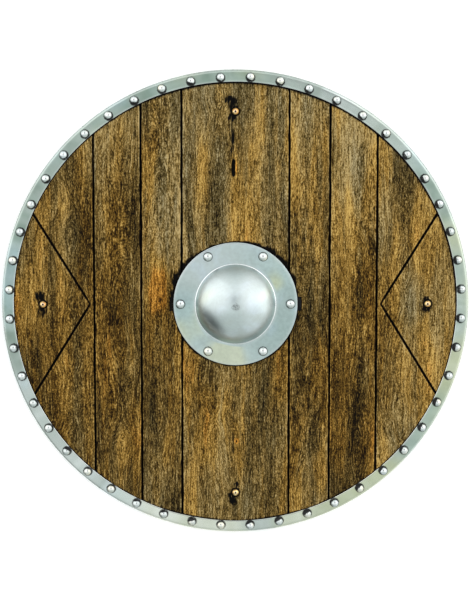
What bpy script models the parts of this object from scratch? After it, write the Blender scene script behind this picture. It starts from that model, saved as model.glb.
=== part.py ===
# Round wooden shield: seven boards side by side, a steel rim folded over their edge and riveted,
# and a domed boss over the hand hole, with a flat grip bar let into the boards behind it.
# Metres. The back lies on z = 0, +Z points out of the front and +Y runs up along the boards.
import math

import bmesh
import bpy
from mathutils import Matrix

# Boards
SHIELD_DIAMETER = 0.610
BOARD_THICKNESS = 0.012
CENTRE_BOARD_WIDTH = 0.140
INNER_BOARD_WIDTH = 0.053
MIDDLE_BOARD_WIDTH = 0.0615
JOINT_GROOVE_WIDTH = 0.0026
JOINT_GROOVE_DEPTH = 0.004
SCORE_WIDTH = 0.003
SCORE_DEPTH = 0.0028
GROOVE_FLOOR_WIDTH = 0.0008
# Wood left between the point of the scored lines and the outer joint
SCORE_NECK = 0.0055
SCORE_SLOPE = math.radians(58.3)
HAND_HOLE_EASE = 0.002

# Rim
RIM_SHEET = 0.0012
RIM_WIDTH = 0.0155
RIM_CORNER = 0.0035
RIM_RIVET_COUNT = 48
RIM_RIVET_INSET = 0.0085
RIM_RIVET_HEAD_DIAMETER = 0.011
RIM_RIVET_DOME = 0.0034
RIM_RIVET_SHANK_DIAMETER = 0.004

# Boss
BOSS_DIAMETER = 0.162
BOSS_SHEET = 0.0015
BOWL_DIAMETER = 0.105
BOWL_HEIGHT = 0.028
BOWL_FILLET = 0.0015
BOSS_RIVET_COUNT = 6
BOSS_RIVET_INSET = 0.009
BOSS_RIVET_HEAD_DIAMETER = 0.0124
BOSS_RIVET_DOME = 0.004
BOSS_RIVET_SHANK_DIAMETER = 0.005

# Grip bar
GRIP_WIDTH = 0.018
GRIP_THICKNESS = 0.006
GRIP_EDGE = 0.001
GRIP_SINK = 0.0003
# How far each end of the bar shows past the boss flange, and how far its grasp stays off the boards
GRIP_SHOW = 0.0055
GRASP_CLEARANCE = 0.004

# Nails
NAIL_INSET = 0.0535
NAIL_HEAD_DIAMETER = 0.0092
NAIL_DOME = 0.0032
NAIL_SHANK_DIAMETER = 0.003

# Gap kept between pieces that touch, and how far a cutter runs past the face it opens
FIT = 0.0003
OVERSHOOT = 0.001

# Facets
RIM_STEPS = 72
BOSS_STEPS = 36
BOWL_ARCS = 6
BOWL_INSIDE_ARCS = 4
FILLET_ARCS = 2
FRONT_CORNER_ARCS = 2
HEAD_STEPS = 10
HEAD_ARCS = 2
RIM_RIVET_STEPS = 8
RIM_SHANK_STEPS = 4

# Levels through the thickness, from the back up
BOARD_BACK = RIM_SHEET + FIT
BOARD_FRONT = BOARD_BACK + BOARD_THICKNESS
RIM_HEIGHT = BOARD_FRONT + FIT + RIM_SHEET
FLANGE_BACK = BOARD_FRONT + FIT
FLANGE_FRONT = FLANGE_BACK + BOSS_SHEET

# Radii and half widths
SHIELD_RADIUS = SHIELD_DIAMETER / 2
RIM_INNER_RADIUS = SHIELD_RADIUS - RIM_WIDTH
BOARD_RADIUS = SHIELD_RADIUS - RIM_SHEET - FIT
BOSS_RADIUS = BOSS_DIAMETER / 2
BOWL_RADIUS = BOWL_DIAMETER / 2
HAND_HOLE_RADIUS = BOWL_RADIUS - BOSS_SHEET
INNER_JOINT = CENTRE_BOARD_WIDTH / 2
MIDDLE_JOINT = INNER_JOINT + INNER_BOARD_WIDTH
OUTER_JOINT = MIDDLE_JOINT + MIDDLE_BOARD_WIDTH
GRIP_HALF_LENGTH = BOSS_RADIUS + GRIP_SHOW - FIT
GRIP_FRONT = BOARD_FRONT - GRIP_SINK
GRIP_BACK = GRIP_FRONT - GRIP_THICKNESS


def make_collection(name):
    collection = bpy.data.collections.new(name)
    bpy.context.scene.collection.children.link(collection)
    return collection


def make_material(name, colour, roughness, metallic):
    material = bpy.data.materials.new(name)
    material.use_nodes = True
    shader = material.node_tree.nodes["Principled BSDF"]
    shader.inputs["Base Color"].default_value = (*colour, 1.0)
    shader.inputs["Roughness"].default_value = roughness
    shader.inputs["Metallic"].default_value = metallic
    return material


def place(name, mesh, collection, material=None):
    """Put a mesh into a collection as a named object; a piece has a material, a cutter has none."""
    piece = bpy.data.objects.new(name, mesh)
    collection.objects.link(piece)
    if material:
        mesh.materials.append(material)
    else:
        piece.hide_render = True
        piece.display_type = "WIRE"
    return piece


def box(name, low, high, collection, material=None):
    """A box between two corners."""
    bm = bmesh.new()
    bmesh.ops.create_cube(bm, size=1.0)
    size = [b - a for a, b in zip(low, high)]
    middle = [(a + b) / 2 for a, b in zip(low, high)]
    stretch = Matrix.Translation(middle) @ Matrix.Diagonal((*size, 1.0))
    bmesh.ops.transform(bm, verts=bm.verts, matrix=stretch)
    mesh = bpy.data.meshes.new(name)
    bm.to_mesh(mesh)
    bm.free()
    return place(name, mesh, collection, material)


def turned(name, profile, steps, collection, material=None, closed=False):
    """Turn a profile of (radius, height) points, given down its outer side, about the Z axis."""
    points = [(radius, 0.0, height) for radius, height in profile]
    edges = [(index, index + 1) for index in range(len(points) - 1)]
    if closed:
        edges.append((len(points) - 1, 0))
    mesh = bpy.data.meshes.new(name)
    mesh.from_pydata(points, edges, [])
    piece = place(name, mesh, collection, material)
    screw = piece.modifiers.new("turn", "SCREW")
    screw.axis = "Z"
    screw.steps = steps
    screw.render_steps = steps
    screw.use_merge_vertices = True
    screw.merge_threshold = 0.00001
    screw.use_smooth_shade = True
    return piece


def arc(centre_radius, centre_height, reach, start, end, parts):
    """Points on a circular arc in the profile plane, angles measured up from the outward direction."""
    angles = [start + (end - start) * index / parts for index in range(parts + 1)]
    return [(centre_radius + reach * math.cos(a), centre_height + reach * math.sin(a)) for a in angles]


def dome(head_radius, rise, base, parts):
    """Points of a shallow round head from its top down to its edge at the base."""
    ball = (head_radius**2 + rise**2) / (2 * rise)
    spread = math.asin(head_radius / ball)
    angles = [spread * index / parts for index in range(parts + 1)]
    return [(ball * math.sin(a), base + rise - ball * (1 - math.cos(a))) for a in angles]


def peg(radius, low, high, sides):
    """A closed upright cylinder mesh."""
    bm = bmesh.new()
    middle = Matrix.Translation((0, 0, (low + high) / 2))
    bmesh.ops.create_cone(
        bm, cap_ends=True, segments=sides, radius1=radius, radius2=radius, depth=high - low, matrix=middle
    )
    mesh = bpy.data.meshes.new("peg")
    bm.to_mesh(mesh)
    bm.free()
    return mesh


def ring_of(name, mesh, spots, collection):
    """One object with a copy of a mesh at each (radius, angle) spot, each turned to face outwards."""
    bm = bmesh.new()
    for radius, angle in spots:
        before = len(bm.verts)
        bm.from_mesh(mesh)
        bm.verts.ensure_lookup_table()
        spot = Matrix.Rotation(angle, 4, "Z") @ Matrix.Translation((radius, 0, 0))
        bmesh.ops.transform(bm, verts=bm.verts[before:], matrix=spot)
    joined = bpy.data.meshes.new(name)
    bm.to_mesh(joined)
    bm.free()
    return place(name, joined, collection)


def combine(piece, operation, other):
    """Add a Boolean modifier that cuts, joins or crops a piece with another object."""
    modifier = piece.modifiers.new(other.name, "BOOLEAN")
    modifier.operation = operation
    modifier.object = other
    modifier.solver = "EXACT"


def evaluated_mesh(piece):
    """The mesh of an object as its modifiers leave it."""
    bpy.context.view_layer.update()
    return bpy.data.meshes.new_from_object(piece.evaluated_get(bpy.context.evaluated_depsgraph_get()))


def groove_cutter(name, start, angle, length, width, depth, collection):
    """A bar with leaning sides that opens a groove of this width and depth in the boards' front."""
    floor = BOARD_FRONT - depth
    cutter = box(name, (0, -0.5, floor), (length, 0.5, BOARD_FRONT + OVERSHOOT), collection)
    lean = (width - GROOVE_FLOOR_WIDTH) / depth
    # The box is one metre wide, so each corner's share of that is the width wanted at its height
    for vertex in cutter.data.vertices:
        vertex.co.y *= GROOVE_FLOOR_WIDTH + lean * (vertex.co.z - floor)
    cutter.location = (*start, 0)
    cutter.rotation_euler = (0, 0, angle)
    return cutter


def board_disc(cutters):
    """The round outline of all the boards together, its two edges chamfered to sit in the fold."""
    bm = bmesh.new()
    middle = Matrix.Translation((0, 0, (BOARD_BACK + BOARD_FRONT) / 2))
    bmesh.ops.create_cone(
        bm,
        cap_ends=True,
        segments=RIM_STEPS,
        radius1=BOARD_RADIUS,
        radius2=BOARD_RADIUS,
        depth=BOARD_THICKNESS,
        matrix=middle,
    )
    corners = [edge for edge in bm.edges if any(len(face.verts) > 4 for face in edge.link_faces)]
    bmesh.ops.bevel(bm, geom=corners, offset=RIM_CORNER - RIM_SHEET, segments=1, affect="EDGES")
    mesh = bpy.data.meshes.new("board_disc")
    bm.to_mesh(mesh)
    bm.free()
    return place("board_disc", mesh, cutters)


def nail_spots():
    """The nails stand near the rim at the right, top, left and bottom."""
    return [(SHIELD_RADIUS - NAIL_INSET, quarter * math.pi / 2) for quarter in range(4)]


def boss_rivet_spots():
    pitch = 2 * math.pi / BOSS_RIVET_COUNT
    return [(BOSS_RADIUS - BOSS_RIVET_INSET, index * pitch) for index in range(BOSS_RIVET_COUNT)]


def rim_rivet_spots():
    pitch = 2 * math.pi / RIM_RIVET_COUNT
    return [(SHIELD_RADIUS - RIM_RIVET_INSET, (index + 0.5) * pitch) for index in range(RIM_RIVET_COUNT)]


def hole_cutter(name, shank_diameter, spots, sides, low, high, cutters):
    """Holes right through a layer from low to high, each a gap wider than the shank that it holds."""
    hole = peg(shank_diameter / 2 + FIT, low - OVERSHOOT, high + OVERSHOOT, sides)
    return ring_of(name, hole, spots, cutters)


def make_boards(parts, cutters, wood):
    """Seven boards, cut from one disc, with the hand hole, the grip's housing and all holes."""
    disc = board_disc(cutters)
    hand_hole = turned(
        "hand_hole",
        [
            (0, BOARD_FRONT + OVERSHOOT),
            (HAND_HOLE_RADIUS, BOARD_FRONT + OVERSHOOT),
            (HAND_HOLE_RADIUS, BOARD_BACK + HAND_HOLE_EASE),
            (HAND_HOLE_RADIUS + HAND_HOLE_EASE + OVERSHOOT, BOARD_BACK - OVERSHOOT),
            (0, BOARD_BACK - OVERSHOOT),
        ],
        BOSS_STEPS,
        cutters,
    )
    housing = box(
        "grip_housing",
        (-GRIP_HALF_LENGTH - FIT, -GRIP_WIDTH / 2 - FIT, GRIP_BACK - FIT),
        (GRIP_HALF_LENGTH + FIT, GRIP_WIDTH / 2 + FIT, BOARD_FRONT + OVERSHOOT),
        cutters,
    )

    def holes(name, diameter, spots, sides):
        return hole_cutter(name, diameter, spots, sides, BOARD_BACK, BOARD_FRONT, cutters)

    rim_holes = holes("rim_holes", RIM_RIVET_SHANK_DIAMETER, rim_rivet_spots(), RIM_SHANK_STEPS)
    boss_holes = holes("boss_holes", BOSS_RIVET_SHANK_DIAMETER, boss_rivet_spots(), HEAD_STEPS)
    nail_holes = holes("nail_holes", NAIL_SHANK_DIAMETER, nail_spots(), HEAD_STEPS)

    joints = [-OUTER_JOINT, -MIDDLE_JOINT, -INNER_JOINT, INNER_JOINT, MIDDLE_JOINT, OUTER_JOINT]
    joint_grooves = [
        groove_cutter(
            "joint_groove_%d" % (index + 1),
            (joint, -SHIELD_RADIUS),
            math.pi / 2,
            SHIELD_DIAMETER,
            JOINT_GROOVE_WIDTH,
            JOINT_GROOVE_DEPTH,
            cutters,
        )
        for index, joint in enumerate(joints)
    ]
    names = [
        "board_outer_left",
        "board_middle_left",
        "board_inner_left",
        "board_centre",
        "board_inner_right",
        "board_middle_right",
        "board_outer_right",
    ]
    edges = [-SHIELD_RADIUS] + joints + [SHIELD_RADIUS]
    for index, name in enumerate(names):
        left, right = edges[index], edges[index + 1]
        board = box(
            name,
            (left + FIT / 2, -SHIELD_RADIUS, 0),
            (right - FIT / 2, SHIELD_RADIUS, RIM_HEIGHT),
            parts,
            wood,
        )
        combine(board, "INTERSECT", disc)
        for groove in joint_grooves[max(index - 1, 0) : index + 1]:
            combine(board, "DIFFERENCE", groove)
        combine(board, "DIFFERENCE", rim_holes)
        if left < GRIP_HALF_LENGTH and right > -GRIP_HALF_LENGTH:
            combine(board, "DIFFERENCE", hand_hole)
            combine(board, "DIFFERENCE", housing)
            combine(board, "DIFFERENCE", boss_holes)
        combine(board, "DIFFERENCE", nail_holes)
        if index in (0, len(names) - 1):
            side = -1 if index == 0 else 1
            score_lines(board, side, cutters)


def score_lines(board, side, cutters):
    """Two grooves that run from a point near the outer joint to the rim, above and below."""
    point = (side * (OUTER_JOINT + SCORE_NECK), 0)
    for way in (1, -1):
        angle = SCORE_SLOPE if side > 0 else math.pi - SCORE_SLOPE
        name = "%s_score_%s" % (board.name, "upper" if way > 0 else "lower")
        cutter = groove_cutter(name, point, way * angle, SHIELD_RADIUS, SCORE_WIDTH, SCORE_DEPTH, cutters)
        combine(board, "DIFFERENCE", cutter)


def rim_section():
    """The folded sheet in section, from the front lip round the outer wall to the back lip."""
    bend = SHIELD_RADIUS - RIM_CORNER
    inside = RIM_CORNER - RIM_SHEET
    quarter = math.pi / 2
    outer_front = arc(bend, RIM_HEIGHT - RIM_CORNER, RIM_CORNER, quarter, 0, FRONT_CORNER_ARCS)
    outer_back = arc(bend, RIM_CORNER, RIM_CORNER, 0, -quarter, 1)
    inner_back = arc(bend, RIM_CORNER, inside, -quarter, 0, 1)
    inner_front = arc(bend, RIM_HEIGHT - RIM_CORNER, inside, 0, quarter, 1)
    return (
        [(RIM_INNER_RADIUS, RIM_HEIGHT)]
        + outer_front
        + outer_back
        + [(RIM_INNER_RADIUS, 0), (RIM_INNER_RADIUS, RIM_SHEET)]
        + inner_back
        + inner_front
        + [(RIM_INNER_RADIUS, RIM_HEIGHT - RIM_SHEET)]
    )


def make_rim(parts, cutters, steel):
    """The folded rim with its rivets set: each head sits in the front sheet, each tail in the back."""
    head_radius = RIM_RIVET_HEAD_DIAMETER / 2
    head_seat = RIM_HEIGHT - RIM_SHEET / 2
    head = dome(head_radius, RIM_RIVET_DOME, RIM_HEIGHT, HEAD_ARCS)
    head += [(head_radius, head_seat), (0, head_seat)]
    head_master = turned("rim_rivet_head", head, RIM_RIVET_STEPS, cutters)
    heads = ring_of("rim_rivet_heads", evaluated_mesh(head_master), rim_rivet_spots(), cutters)
    shank_top = RIM_HEIGHT - RIM_SHEET * 3 / 4
    shank = peg(RIM_RIVET_SHANK_DIAMETER / 2, RIM_SHEET / 2, shank_top, RIM_SHANK_STEPS)
    shanks = ring_of("rim_rivet_shanks", shank, rim_rivet_spots(), cutters)
    rim = turned("rim", rim_section(), RIM_STEPS, parts, steel, closed=True)
    combine(rim, "UNION", heads)
    combine(rim, "UNION", shanks)


def make_boss(parts, cutters, steel):
    """A spun shell: round flange, tight fillet and a bowl of even wall, a cap of a ball open at the back."""
    ball = (BOWL_RADIUS**2 + BOWL_HEIGHT**2) / (2 * BOWL_HEIGHT)
    ball_level = FLANGE_FRONT + BOWL_HEIGHT - ball
    foot = FLANGE_FRONT + BOWL_FILLET
    fillet_centre = math.sqrt((ball + BOWL_FILLET) ** 2 - (foot - ball_level) ** 2)
    # Angle between the axis and the line from the ball's middle to the fillet's
    lean = math.atan2(fillet_centre, foot - ball_level)
    down = 1.5 * math.pi

    def cap(reach, parts_of_arc):
        angles = [lean * index / parts_of_arc for index in range(parts_of_arc + 1)]
        return [(reach * math.sin(a), ball_level + reach * math.cos(a)) for a in angles]

    outside = cap(ball, BOWL_ARCS)
    inside = cap(ball - BOSS_SHEET, BOWL_INSIDE_ARCS)[::-1]
    fillet_out = arc(fillet_centre, foot, BOWL_FILLET, down - lean, down, FILLET_ARCS)
    fillet_in = arc(fillet_centre, foot, BOWL_FILLET + BOSS_SHEET, down, down - lean, FILLET_ARCS)
    profile = (
        outside
        + fillet_out[1:]
        + [(BOSS_RADIUS, FLANGE_FRONT), (BOSS_RADIUS, FLANGE_BACK)]
        + fillet_in
        + inside[1:]
    )
    boss = turned("boss", profile, BOSS_STEPS, parts, steel)
    holes = hole_cutter(
        "flange_holes",
        BOSS_RIVET_SHANK_DIAMETER,
        boss_rivet_spots(),
        HEAD_STEPS,
        FLANGE_BACK,
        FLANGE_FRONT,
        cutters,
    )
    combine(boss, "DIFFERENCE", holes)


def make_grip(parts, cutters, iron):
    """A flat bar, let into the boards with square ends and pinned by the two side rivets."""
    grip = box(
        "grip",
        (-GRIP_HALF_LENGTH, -GRIP_WIDTH / 2, GRIP_BACK),
        (GRIP_HALF_LENGTH, GRIP_WIDTH / 2, GRIP_FRONT),
        parts,
        iron,
    )
    # The long edges are softened over the grasp only, the length in the open inside the hand hole
    grasp = math.sqrt(HAND_HOLE_RADIUS**2 - (GRIP_WIDTH / 2) ** 2) - GRASP_CLEARANCE
    bm = bmesh.new()
    bm.from_mesh(grip.data)
    for side in (-1, 1):
        everything = bm.verts[:] + bm.edges[:] + bm.faces[:]
        bmesh.ops.bisect_plane(bm, geom=everything, plane_co=(side * grasp, 0, 0), plane_no=(1, 0, 0))
    grasp_edges = [edge for edge in bm.edges if edge.verts[0].co.x * edge.verts[1].co.x < 0]
    bmesh.ops.bevel(bm, geom=grasp_edges, offset=GRIP_EDGE, segments=1, affect="EDGES")
    bm.to_mesh(grip.data)
    bm.free()
    holes = hole_cutter(
        "grip_holes",
        BOSS_RIVET_SHANK_DIAMETER,
        boss_rivet_spots(),
        HEAD_STEPS,
        GRIP_BACK,
        GRIP_FRONT,
        cutters,
    )
    combine(grip, "DIFFERENCE", holes)


def make_rivet(name, spot, head_diameter, rise, shank_diameter, seat, collection, material):
    """A domed head with its shank, which ends flush with the back of the boards."""
    radius, angle = spot
    profile = dome(head_diameter / 2, rise, seat, HEAD_ARCS)
    profile += [(shank_diameter / 2, seat), (shank_diameter / 2, BOARD_BACK), (0, BOARD_BACK)]
    rivet = turned(name, profile, HEAD_STEPS, collection, material)
    rivet.matrix_world = Matrix.Rotation(angle, 4, "Z") @ Matrix.Translation((radius, 0, 0))


def make_fasteners(parts, polished, brass):
    for index, spot in enumerate(boss_rivet_spots()):
        make_rivet(
            "boss_rivet_%d" % (index + 1),
            spot,
            BOSS_RIVET_HEAD_DIAMETER,
            BOSS_RIVET_DOME,
            BOSS_RIVET_SHANK_DIAMETER,
            FLANGE_FRONT + FIT,
            parts,
            polished,
        )
    for place_name, spot in zip(("right", "top", "left", "bottom"), nail_spots()):
        make_rivet(
            "nail_" + place_name,
            spot,
            NAIL_HEAD_DIAMETER,
            NAIL_DOME,
            NAIL_SHANK_DIAMETER,
            BOARD_FRONT + FIT,
            parts,
            brass,
        )


def main():
    for old in list(bpy.data.objects):
        bpy.data.objects.remove(old)
    parts = make_collection("round_shield")
    cutters = make_collection("cutters")
    wood = make_material("stained_boards", (0.28, 0.15, 0.06), 0.7, 0.0)
    steel = make_material("satin_steel", (0.55, 0.60, 0.61), 0.38, 1.0)
    polished = make_material("polished_steel", (0.72, 0.75, 0.74), 0.2, 1.0)
    brass = make_material("brass", (0.62, 0.42, 0.18), 0.28, 1.0)
    iron = make_material("black_iron", (0.012, 0.012, 0.013), 0.55, 0.9)
    make_boards(parts, cutters, wood)
    make_rim(parts, cutters, steel)
    make_boss(parts, cutters, steel)
    make_grip(parts, cutters, iron)
    make_fasteners(parts, polished, brass)


main()
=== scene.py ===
import math

import bpy
import numpy as np
from mathutils import Matrix, Vector


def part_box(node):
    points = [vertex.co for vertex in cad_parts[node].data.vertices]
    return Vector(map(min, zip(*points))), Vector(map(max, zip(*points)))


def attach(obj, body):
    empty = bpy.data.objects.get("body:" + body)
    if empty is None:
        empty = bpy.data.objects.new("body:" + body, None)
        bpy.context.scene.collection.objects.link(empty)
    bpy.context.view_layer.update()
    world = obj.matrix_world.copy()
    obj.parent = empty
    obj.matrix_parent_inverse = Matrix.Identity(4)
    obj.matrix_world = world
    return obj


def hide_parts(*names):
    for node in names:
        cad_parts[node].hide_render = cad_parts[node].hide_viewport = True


# Looks of the round wooden shield: brushed and stained boards under a riveted steel rim and boss.
# The dictionaries give sizes in millimetres and angles in degrees; meshes are made in metres.
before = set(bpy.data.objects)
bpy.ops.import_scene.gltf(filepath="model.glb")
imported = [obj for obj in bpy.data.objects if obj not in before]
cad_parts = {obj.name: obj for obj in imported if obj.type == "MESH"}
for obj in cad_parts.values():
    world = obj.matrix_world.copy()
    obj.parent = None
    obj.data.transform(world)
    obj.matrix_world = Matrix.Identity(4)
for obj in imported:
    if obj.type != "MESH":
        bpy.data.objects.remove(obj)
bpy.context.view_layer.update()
mm = 0.001
tau = 2 * math.pi


# Shared mesh and noise helpers

def newObject(name, data):
    # An object for a mesh, light or camera, linked to the scene
    made = bpy.data.objects.new(name, data)
    bpy.context.scene.collection.objects.link(made)
    return made


def meshPiece(name, points, faceSets, material, nodes, fields=None, sharpAngle=None):
    # One object from points in millimetres and arrays of faces, with one float field per point
    points = np.asarray(points).reshape(-1, 3)
    mesh = bpy.data.meshes.new(name)
    loops = np.concatenate([faces.ravel() for faces in faceSets]).astype(np.int32)
    sizes = np.concatenate([np.full(len(faces), faces.shape[1]) for faces in faceSets])
    starts = np.concatenate([[0], np.cumsum(sizes)[:-1]]).astype(np.int32)
    mesh.vertices.add(len(points))
    mesh.vertices.foreach_set("co", (points * mm).astype(np.float32).ravel())
    mesh.loops.add(len(loops))
    mesh.loops.foreach_set("vertex_index", loops)
    mesh.polygons.add(len(sizes))
    mesh.polygons.foreach_set("loop_start", starts)
    mesh.polygons.foreach_set("use_smooth", np.ones(len(sizes), dtype=bool))
    mesh.update(calc_edges=True)
    mesh.validate()
    for key, values in (fields or {}).items():
        layer = mesh.attributes.new(key, "FLOAT", "POINT")
        layer.data.foreach_set("value", np.asarray(values).astype(np.float32).ravel())
    if sharpAngle:
        mesh.set_sharp_from_angle(angle=math.radians(sharpAngle))
    mesh.materials.append(material)
    piece = newObject(name, mesh)
    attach(piece, "root")
    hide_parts(*nodes)
    return piece


def stacked(*parts):
    # Arrays or plain values side by side, as the last axis of one array
    return np.stack(np.broadcast_arrays(*parts), axis=-1)


def gridFaces(rows, columns, closedRows=False, closedColumns=False):
    # Quads of a grid whose point (row, column) has the number row * columns + column
    lastRow = rows if closedRows else rows - 1
    lastColumn = columns if closedColumns else columns - 1
    row, column = np.meshgrid(np.arange(lastRow), np.arange(lastColumn), indexing="ij")
    nextRow, nextColumn = (row + 1) % rows, (column + 1) % columns
    low, high = row * columns, nextRow * columns
    return stacked(low + column, low + nextColumn, high + nextColumn, high + column).reshape(-1, 4)


def turnedFaces(turns, count):
    # Faces of a closed turned body: the first and last section points are poles, shared by all turns
    inner = count - 2
    faces = gridFaces(turns, inner, closedRows=True)
    turn = np.arange(turns)
    top, bottom = turns * inner, turns * inner + 1
    here, after = turn * inner, (turn + 1) % turns * inner
    return [faces, stacked(top, here, after), stacked(here + inner - 1, bottom, after + inner - 1)]


def turnedPoints(section, turns, centre=(0, 0), wobble=None):
    # Each section point (radius, height) goes round the axis: x = radius cos a, y = radius sin a
    angle = (np.arange(turns) / turns * tau)[:, None]
    radius = np.repeat(section[None, 1:-1, 0], turns, axis=0)
    height = np.repeat(section[None, 1:-1, 1], turns, axis=0)
    if wobble:
        radius, height = wobble(angle, radius, height)
    around = stacked(radius * np.cos(angle), radius * np.sin(angle), height).reshape(-1, 3)
    poles = np.array([[0, 0, section[0, 1]], [0, 0, section[-1, 1]]])
    points = np.concatenate([around, poles])
    points[:, :2] += centre
    return points


def spread(values, turns):
    # A field given along the section, copied to every turn, with the two poles last
    return np.concatenate([np.tile(values[1:-1], turns), [values[0], values[-1]]])


def roundTheClock(degrees, twelve):
    # A value for each angle, straight between twelve given ones, 30 degrees apart
    return np.interp(degrees, np.arange(13) * 30, twelve + twelve[:1])


def arcPoints(centre, reach, start, end, parts):
    # An arc of a circle or ellipse, as (radius, height) points, from one angle to another
    angle = np.radians(np.linspace(start, end, parts + 1))
    across, up = reach if np.ndim(reach) else (reach, reach)
    return stacked(centre[0] + across * np.cos(angle), centre[1] + up * np.sin(angle))


def softNoise(u, v, seed):
    # Random heights from -1 to 1 on whole numbers, eased between them by 3 t^2 - 2 t^3
    table = np.random.default_rng(seed).uniform(-1, 1, (256, 256))
    u, v = np.broadcast_arrays(np.asarray(u, float), np.asarray(v, float))
    left, low = np.floor(u).astype(int), np.floor(v).astype(int)
    easeU, easeV = u - left, v - low
    easeU, easeV = easeU**2 * (3 - 2 * easeU), easeV**2 * (3 - 2 * easeV)
    a, b, c, d = (table[(left + i) & 255, (low + j) & 255] for i, j in ((0, 0), (1, 0), (0, 1), (1, 1)))
    return (a + (b - a) * easeU) * (1 - easeV) + (c + (d - c) * easeU) * easeV


def halfNoise(u, v, seed):
    # The same from 0 to 1
    return 0.5 + 0.5 * softNoise(u, v, seed)


def step(values, low, high):
    # Smooth rise from 0 at low to 1 at high
    share = np.clip((values - low) / (high - low), 0, 1)
    return share**2 * (3 - 2 * share)


# Shader helpers

def paint(red, green, blue):
    # A colour given in screen values, made linear
    values = np.array([red, green, blue]) / 255
    linear = np.where(values <= 0.04045, values / 12.92, ((values + 0.055) / 1.055) ** 2.4)
    return (*[float(value) for value in linear], 1.0)


def feed(tree, sockets, values):
    # Each value is wired to its socket if it is a socket itself, and set there if it is a plain one
    for key, value in values.items():
        if isinstance(value, bpy.types.NodeSocket):
            tree.links.new(value, sockets[key])
        else:
            sockets[key].default_value = value


def node(tree, kind, values=None, **settings):
    made = tree.nodes.new("ShaderNode" + kind)
    for key, value in settings.items():
        setattr(made, key, value)
    feed(tree, made.inputs, values or {})
    return made


def sums(tree, operation, first, second=0.0, clamp=False):
    return node(tree, "Math", {0: first, 1: second}, operation=operation, use_clamp=clamp).outputs[0]


def plus(tree, first, second):
    return sums(tree, "ADD", first, second)


def times(tree, first, second):
    return sums(tree, "MULTIPLY", first, second)


def weighed(tree, source, centre, weight):
    # How far the source is over or under a centre, times a weight
    return times(tree, sums(tree, "SUBTRACT", source, centre), weight)


def remap(tree, value, low, high, toLow=0.0, toHigh=1.0):
    # Eased from one range to another, and held at its ends
    values = {"Value": value, "From Min": low, "From Max": high, "To Min": toLow, "To Max": toHigh}
    return node(tree, "MapRange", values, interpolation_type="SMOOTHSTEP").outputs["Result"]


def blended(tree, share, first, second, mode="MIX"):
    values = {0: share, 6: first, 7: second}
    return node(tree, "Mix", values, data_type="RGBA", blend_type=mode).outputs[2]


def noiseAt(tree, vector, scale, detail=2.0, roughness=0.5):
    # Noise of a vector that is first stretched along its axes
    stretched = node(tree, "Mapping", {"Vector": vector, "Scale": scale}).outputs[0]
    values = {"Vector": stretched, "Scale": 1.0, "Detail": detail, "Roughness": roughness}
    return node(tree, "TexNoise", values).outputs[0]


def field(tree, name):
    return node(tree, "Attribute", attribute_name=name).outputs["Fac"]


def newGroup(name, inputs, outputs):
    # An empty node group with named sockets, f for a float and v for a vector
    tree = bpy.data.node_groups.new(name, "ShaderNodeTree")
    kinds = {"f": "NodeSocketFloat", "v": "NodeSocketVector"}
    for socketName, kind in inputs:
        tree.interface.new_socket(name=socketName, in_out="INPUT", socket_type=kinds[kind])
    for socketName, kind in outputs:
        tree.interface.new_socket(name=socketName, in_out="OUTPUT", socket_type=kinds[kind])
    entry = tree.nodes.new("NodeGroupInput")
    leave = tree.nodes.new("NodeGroupOutput")
    return tree, entry.outputs, leave.inputs


def placed(tree, group, values):
    # A node group in a material, with its own values
    return node(tree, "Group", values, node_tree=group).outputs


def newMaterial(name):
    # A material, its node tree and the inputs of its shader
    material = bpy.data.materials.new(name)
    material.use_nodes = True
    return material, material.node_tree, material.node_tree.nodes["Principled BSDF"].inputs


def grimeAndShadeGroup():
    # Dark stain and painted shade where the grime and shade field, made ragged by noise, passes a threshold
    tree, given, out = newGroup(
        "raggedGrimeAndShade",
        [("Vector", "v"), ("GrimeAndShade", "f"), ("Grain", "v"), ("Raggedness", "f")],
        [("Mask", "f")],
    )
    stretched = node(tree, "VectorMath", {0: given["Vector"], 1: given["Grain"]}, operation="MULTIPLY")
    values = {"Vector": stretched.outputs[0], "Scale": 1.0, "Detail": 3.0, "Roughness": 0.6}
    rough = node(tree, "TexNoise", values).outputs[0]
    ragged = plus(tree, given["GrimeAndShade"], weighed(tree, rough, 0.5, given["Raggedness"]))
    feed(tree, out, {"Mask": remap(tree, ragged, 0.25, 0.72)})
    return tree


def rivetDirtAndShadeGroup():
    # Dirt and painted shade round every rivet of a circle: the distance to the nearest rivet is found from
    # the share of the step that the angle has gone through. The dark ring's middle lies Inset nearer to the
    # axis than the rivet, and it keeps to what is higher than Level. All are in metres
    tree, given, out = newGroup(
        "rivetDirtAndShade",
        [(name, "v" if name == "Vector" else "f")
         for name in ("Vector", "Circle", "Count", "Near", "Far", "Inset", "Level")],
        [("Mask", "f")],
    )
    parts = node(tree, "SeparateXYZ", {0: given["Vector"]}).outputs
    flat = node(tree, "CombineXYZ", {0: parts[0], 1: parts[1]}).outputs[0]
    reach = node(tree, "VectorMath", {0: flat}, operation="LENGTH").outputs["Value"]
    turned = sums(tree, "DIVIDE", sums(tree, "ARCTAN2", parts[1], parts[0]), tau)
    share = sums(tree, "FRACT", times(tree, turned, given["Count"]))
    between = sums(tree, "DIVIDE", times(tree, reach, tau), given["Count"])
    aside = weighed(tree, share, 0.5, between)
    outward = plus(tree, sums(tree, "SUBTRACT", reach, given["Circle"]), given["Inset"])
    off = node(tree, "CombineXYZ", {0: aside, 1: outward}).outputs[0]
    away = node(tree, "VectorMath", {0: off}, operation="LENGTH").outputs["Value"]
    front = sums(tree, "GREATER_THAN", parts[2], given["Level"])
    near = node(tree, "MapRange", {"Value": away, "From Min": given["Far"], "From Max": given["Near"]})
    feed(tree, out, {"Mask": times(tree, near.outputs["Result"], front)})
    return tree


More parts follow.
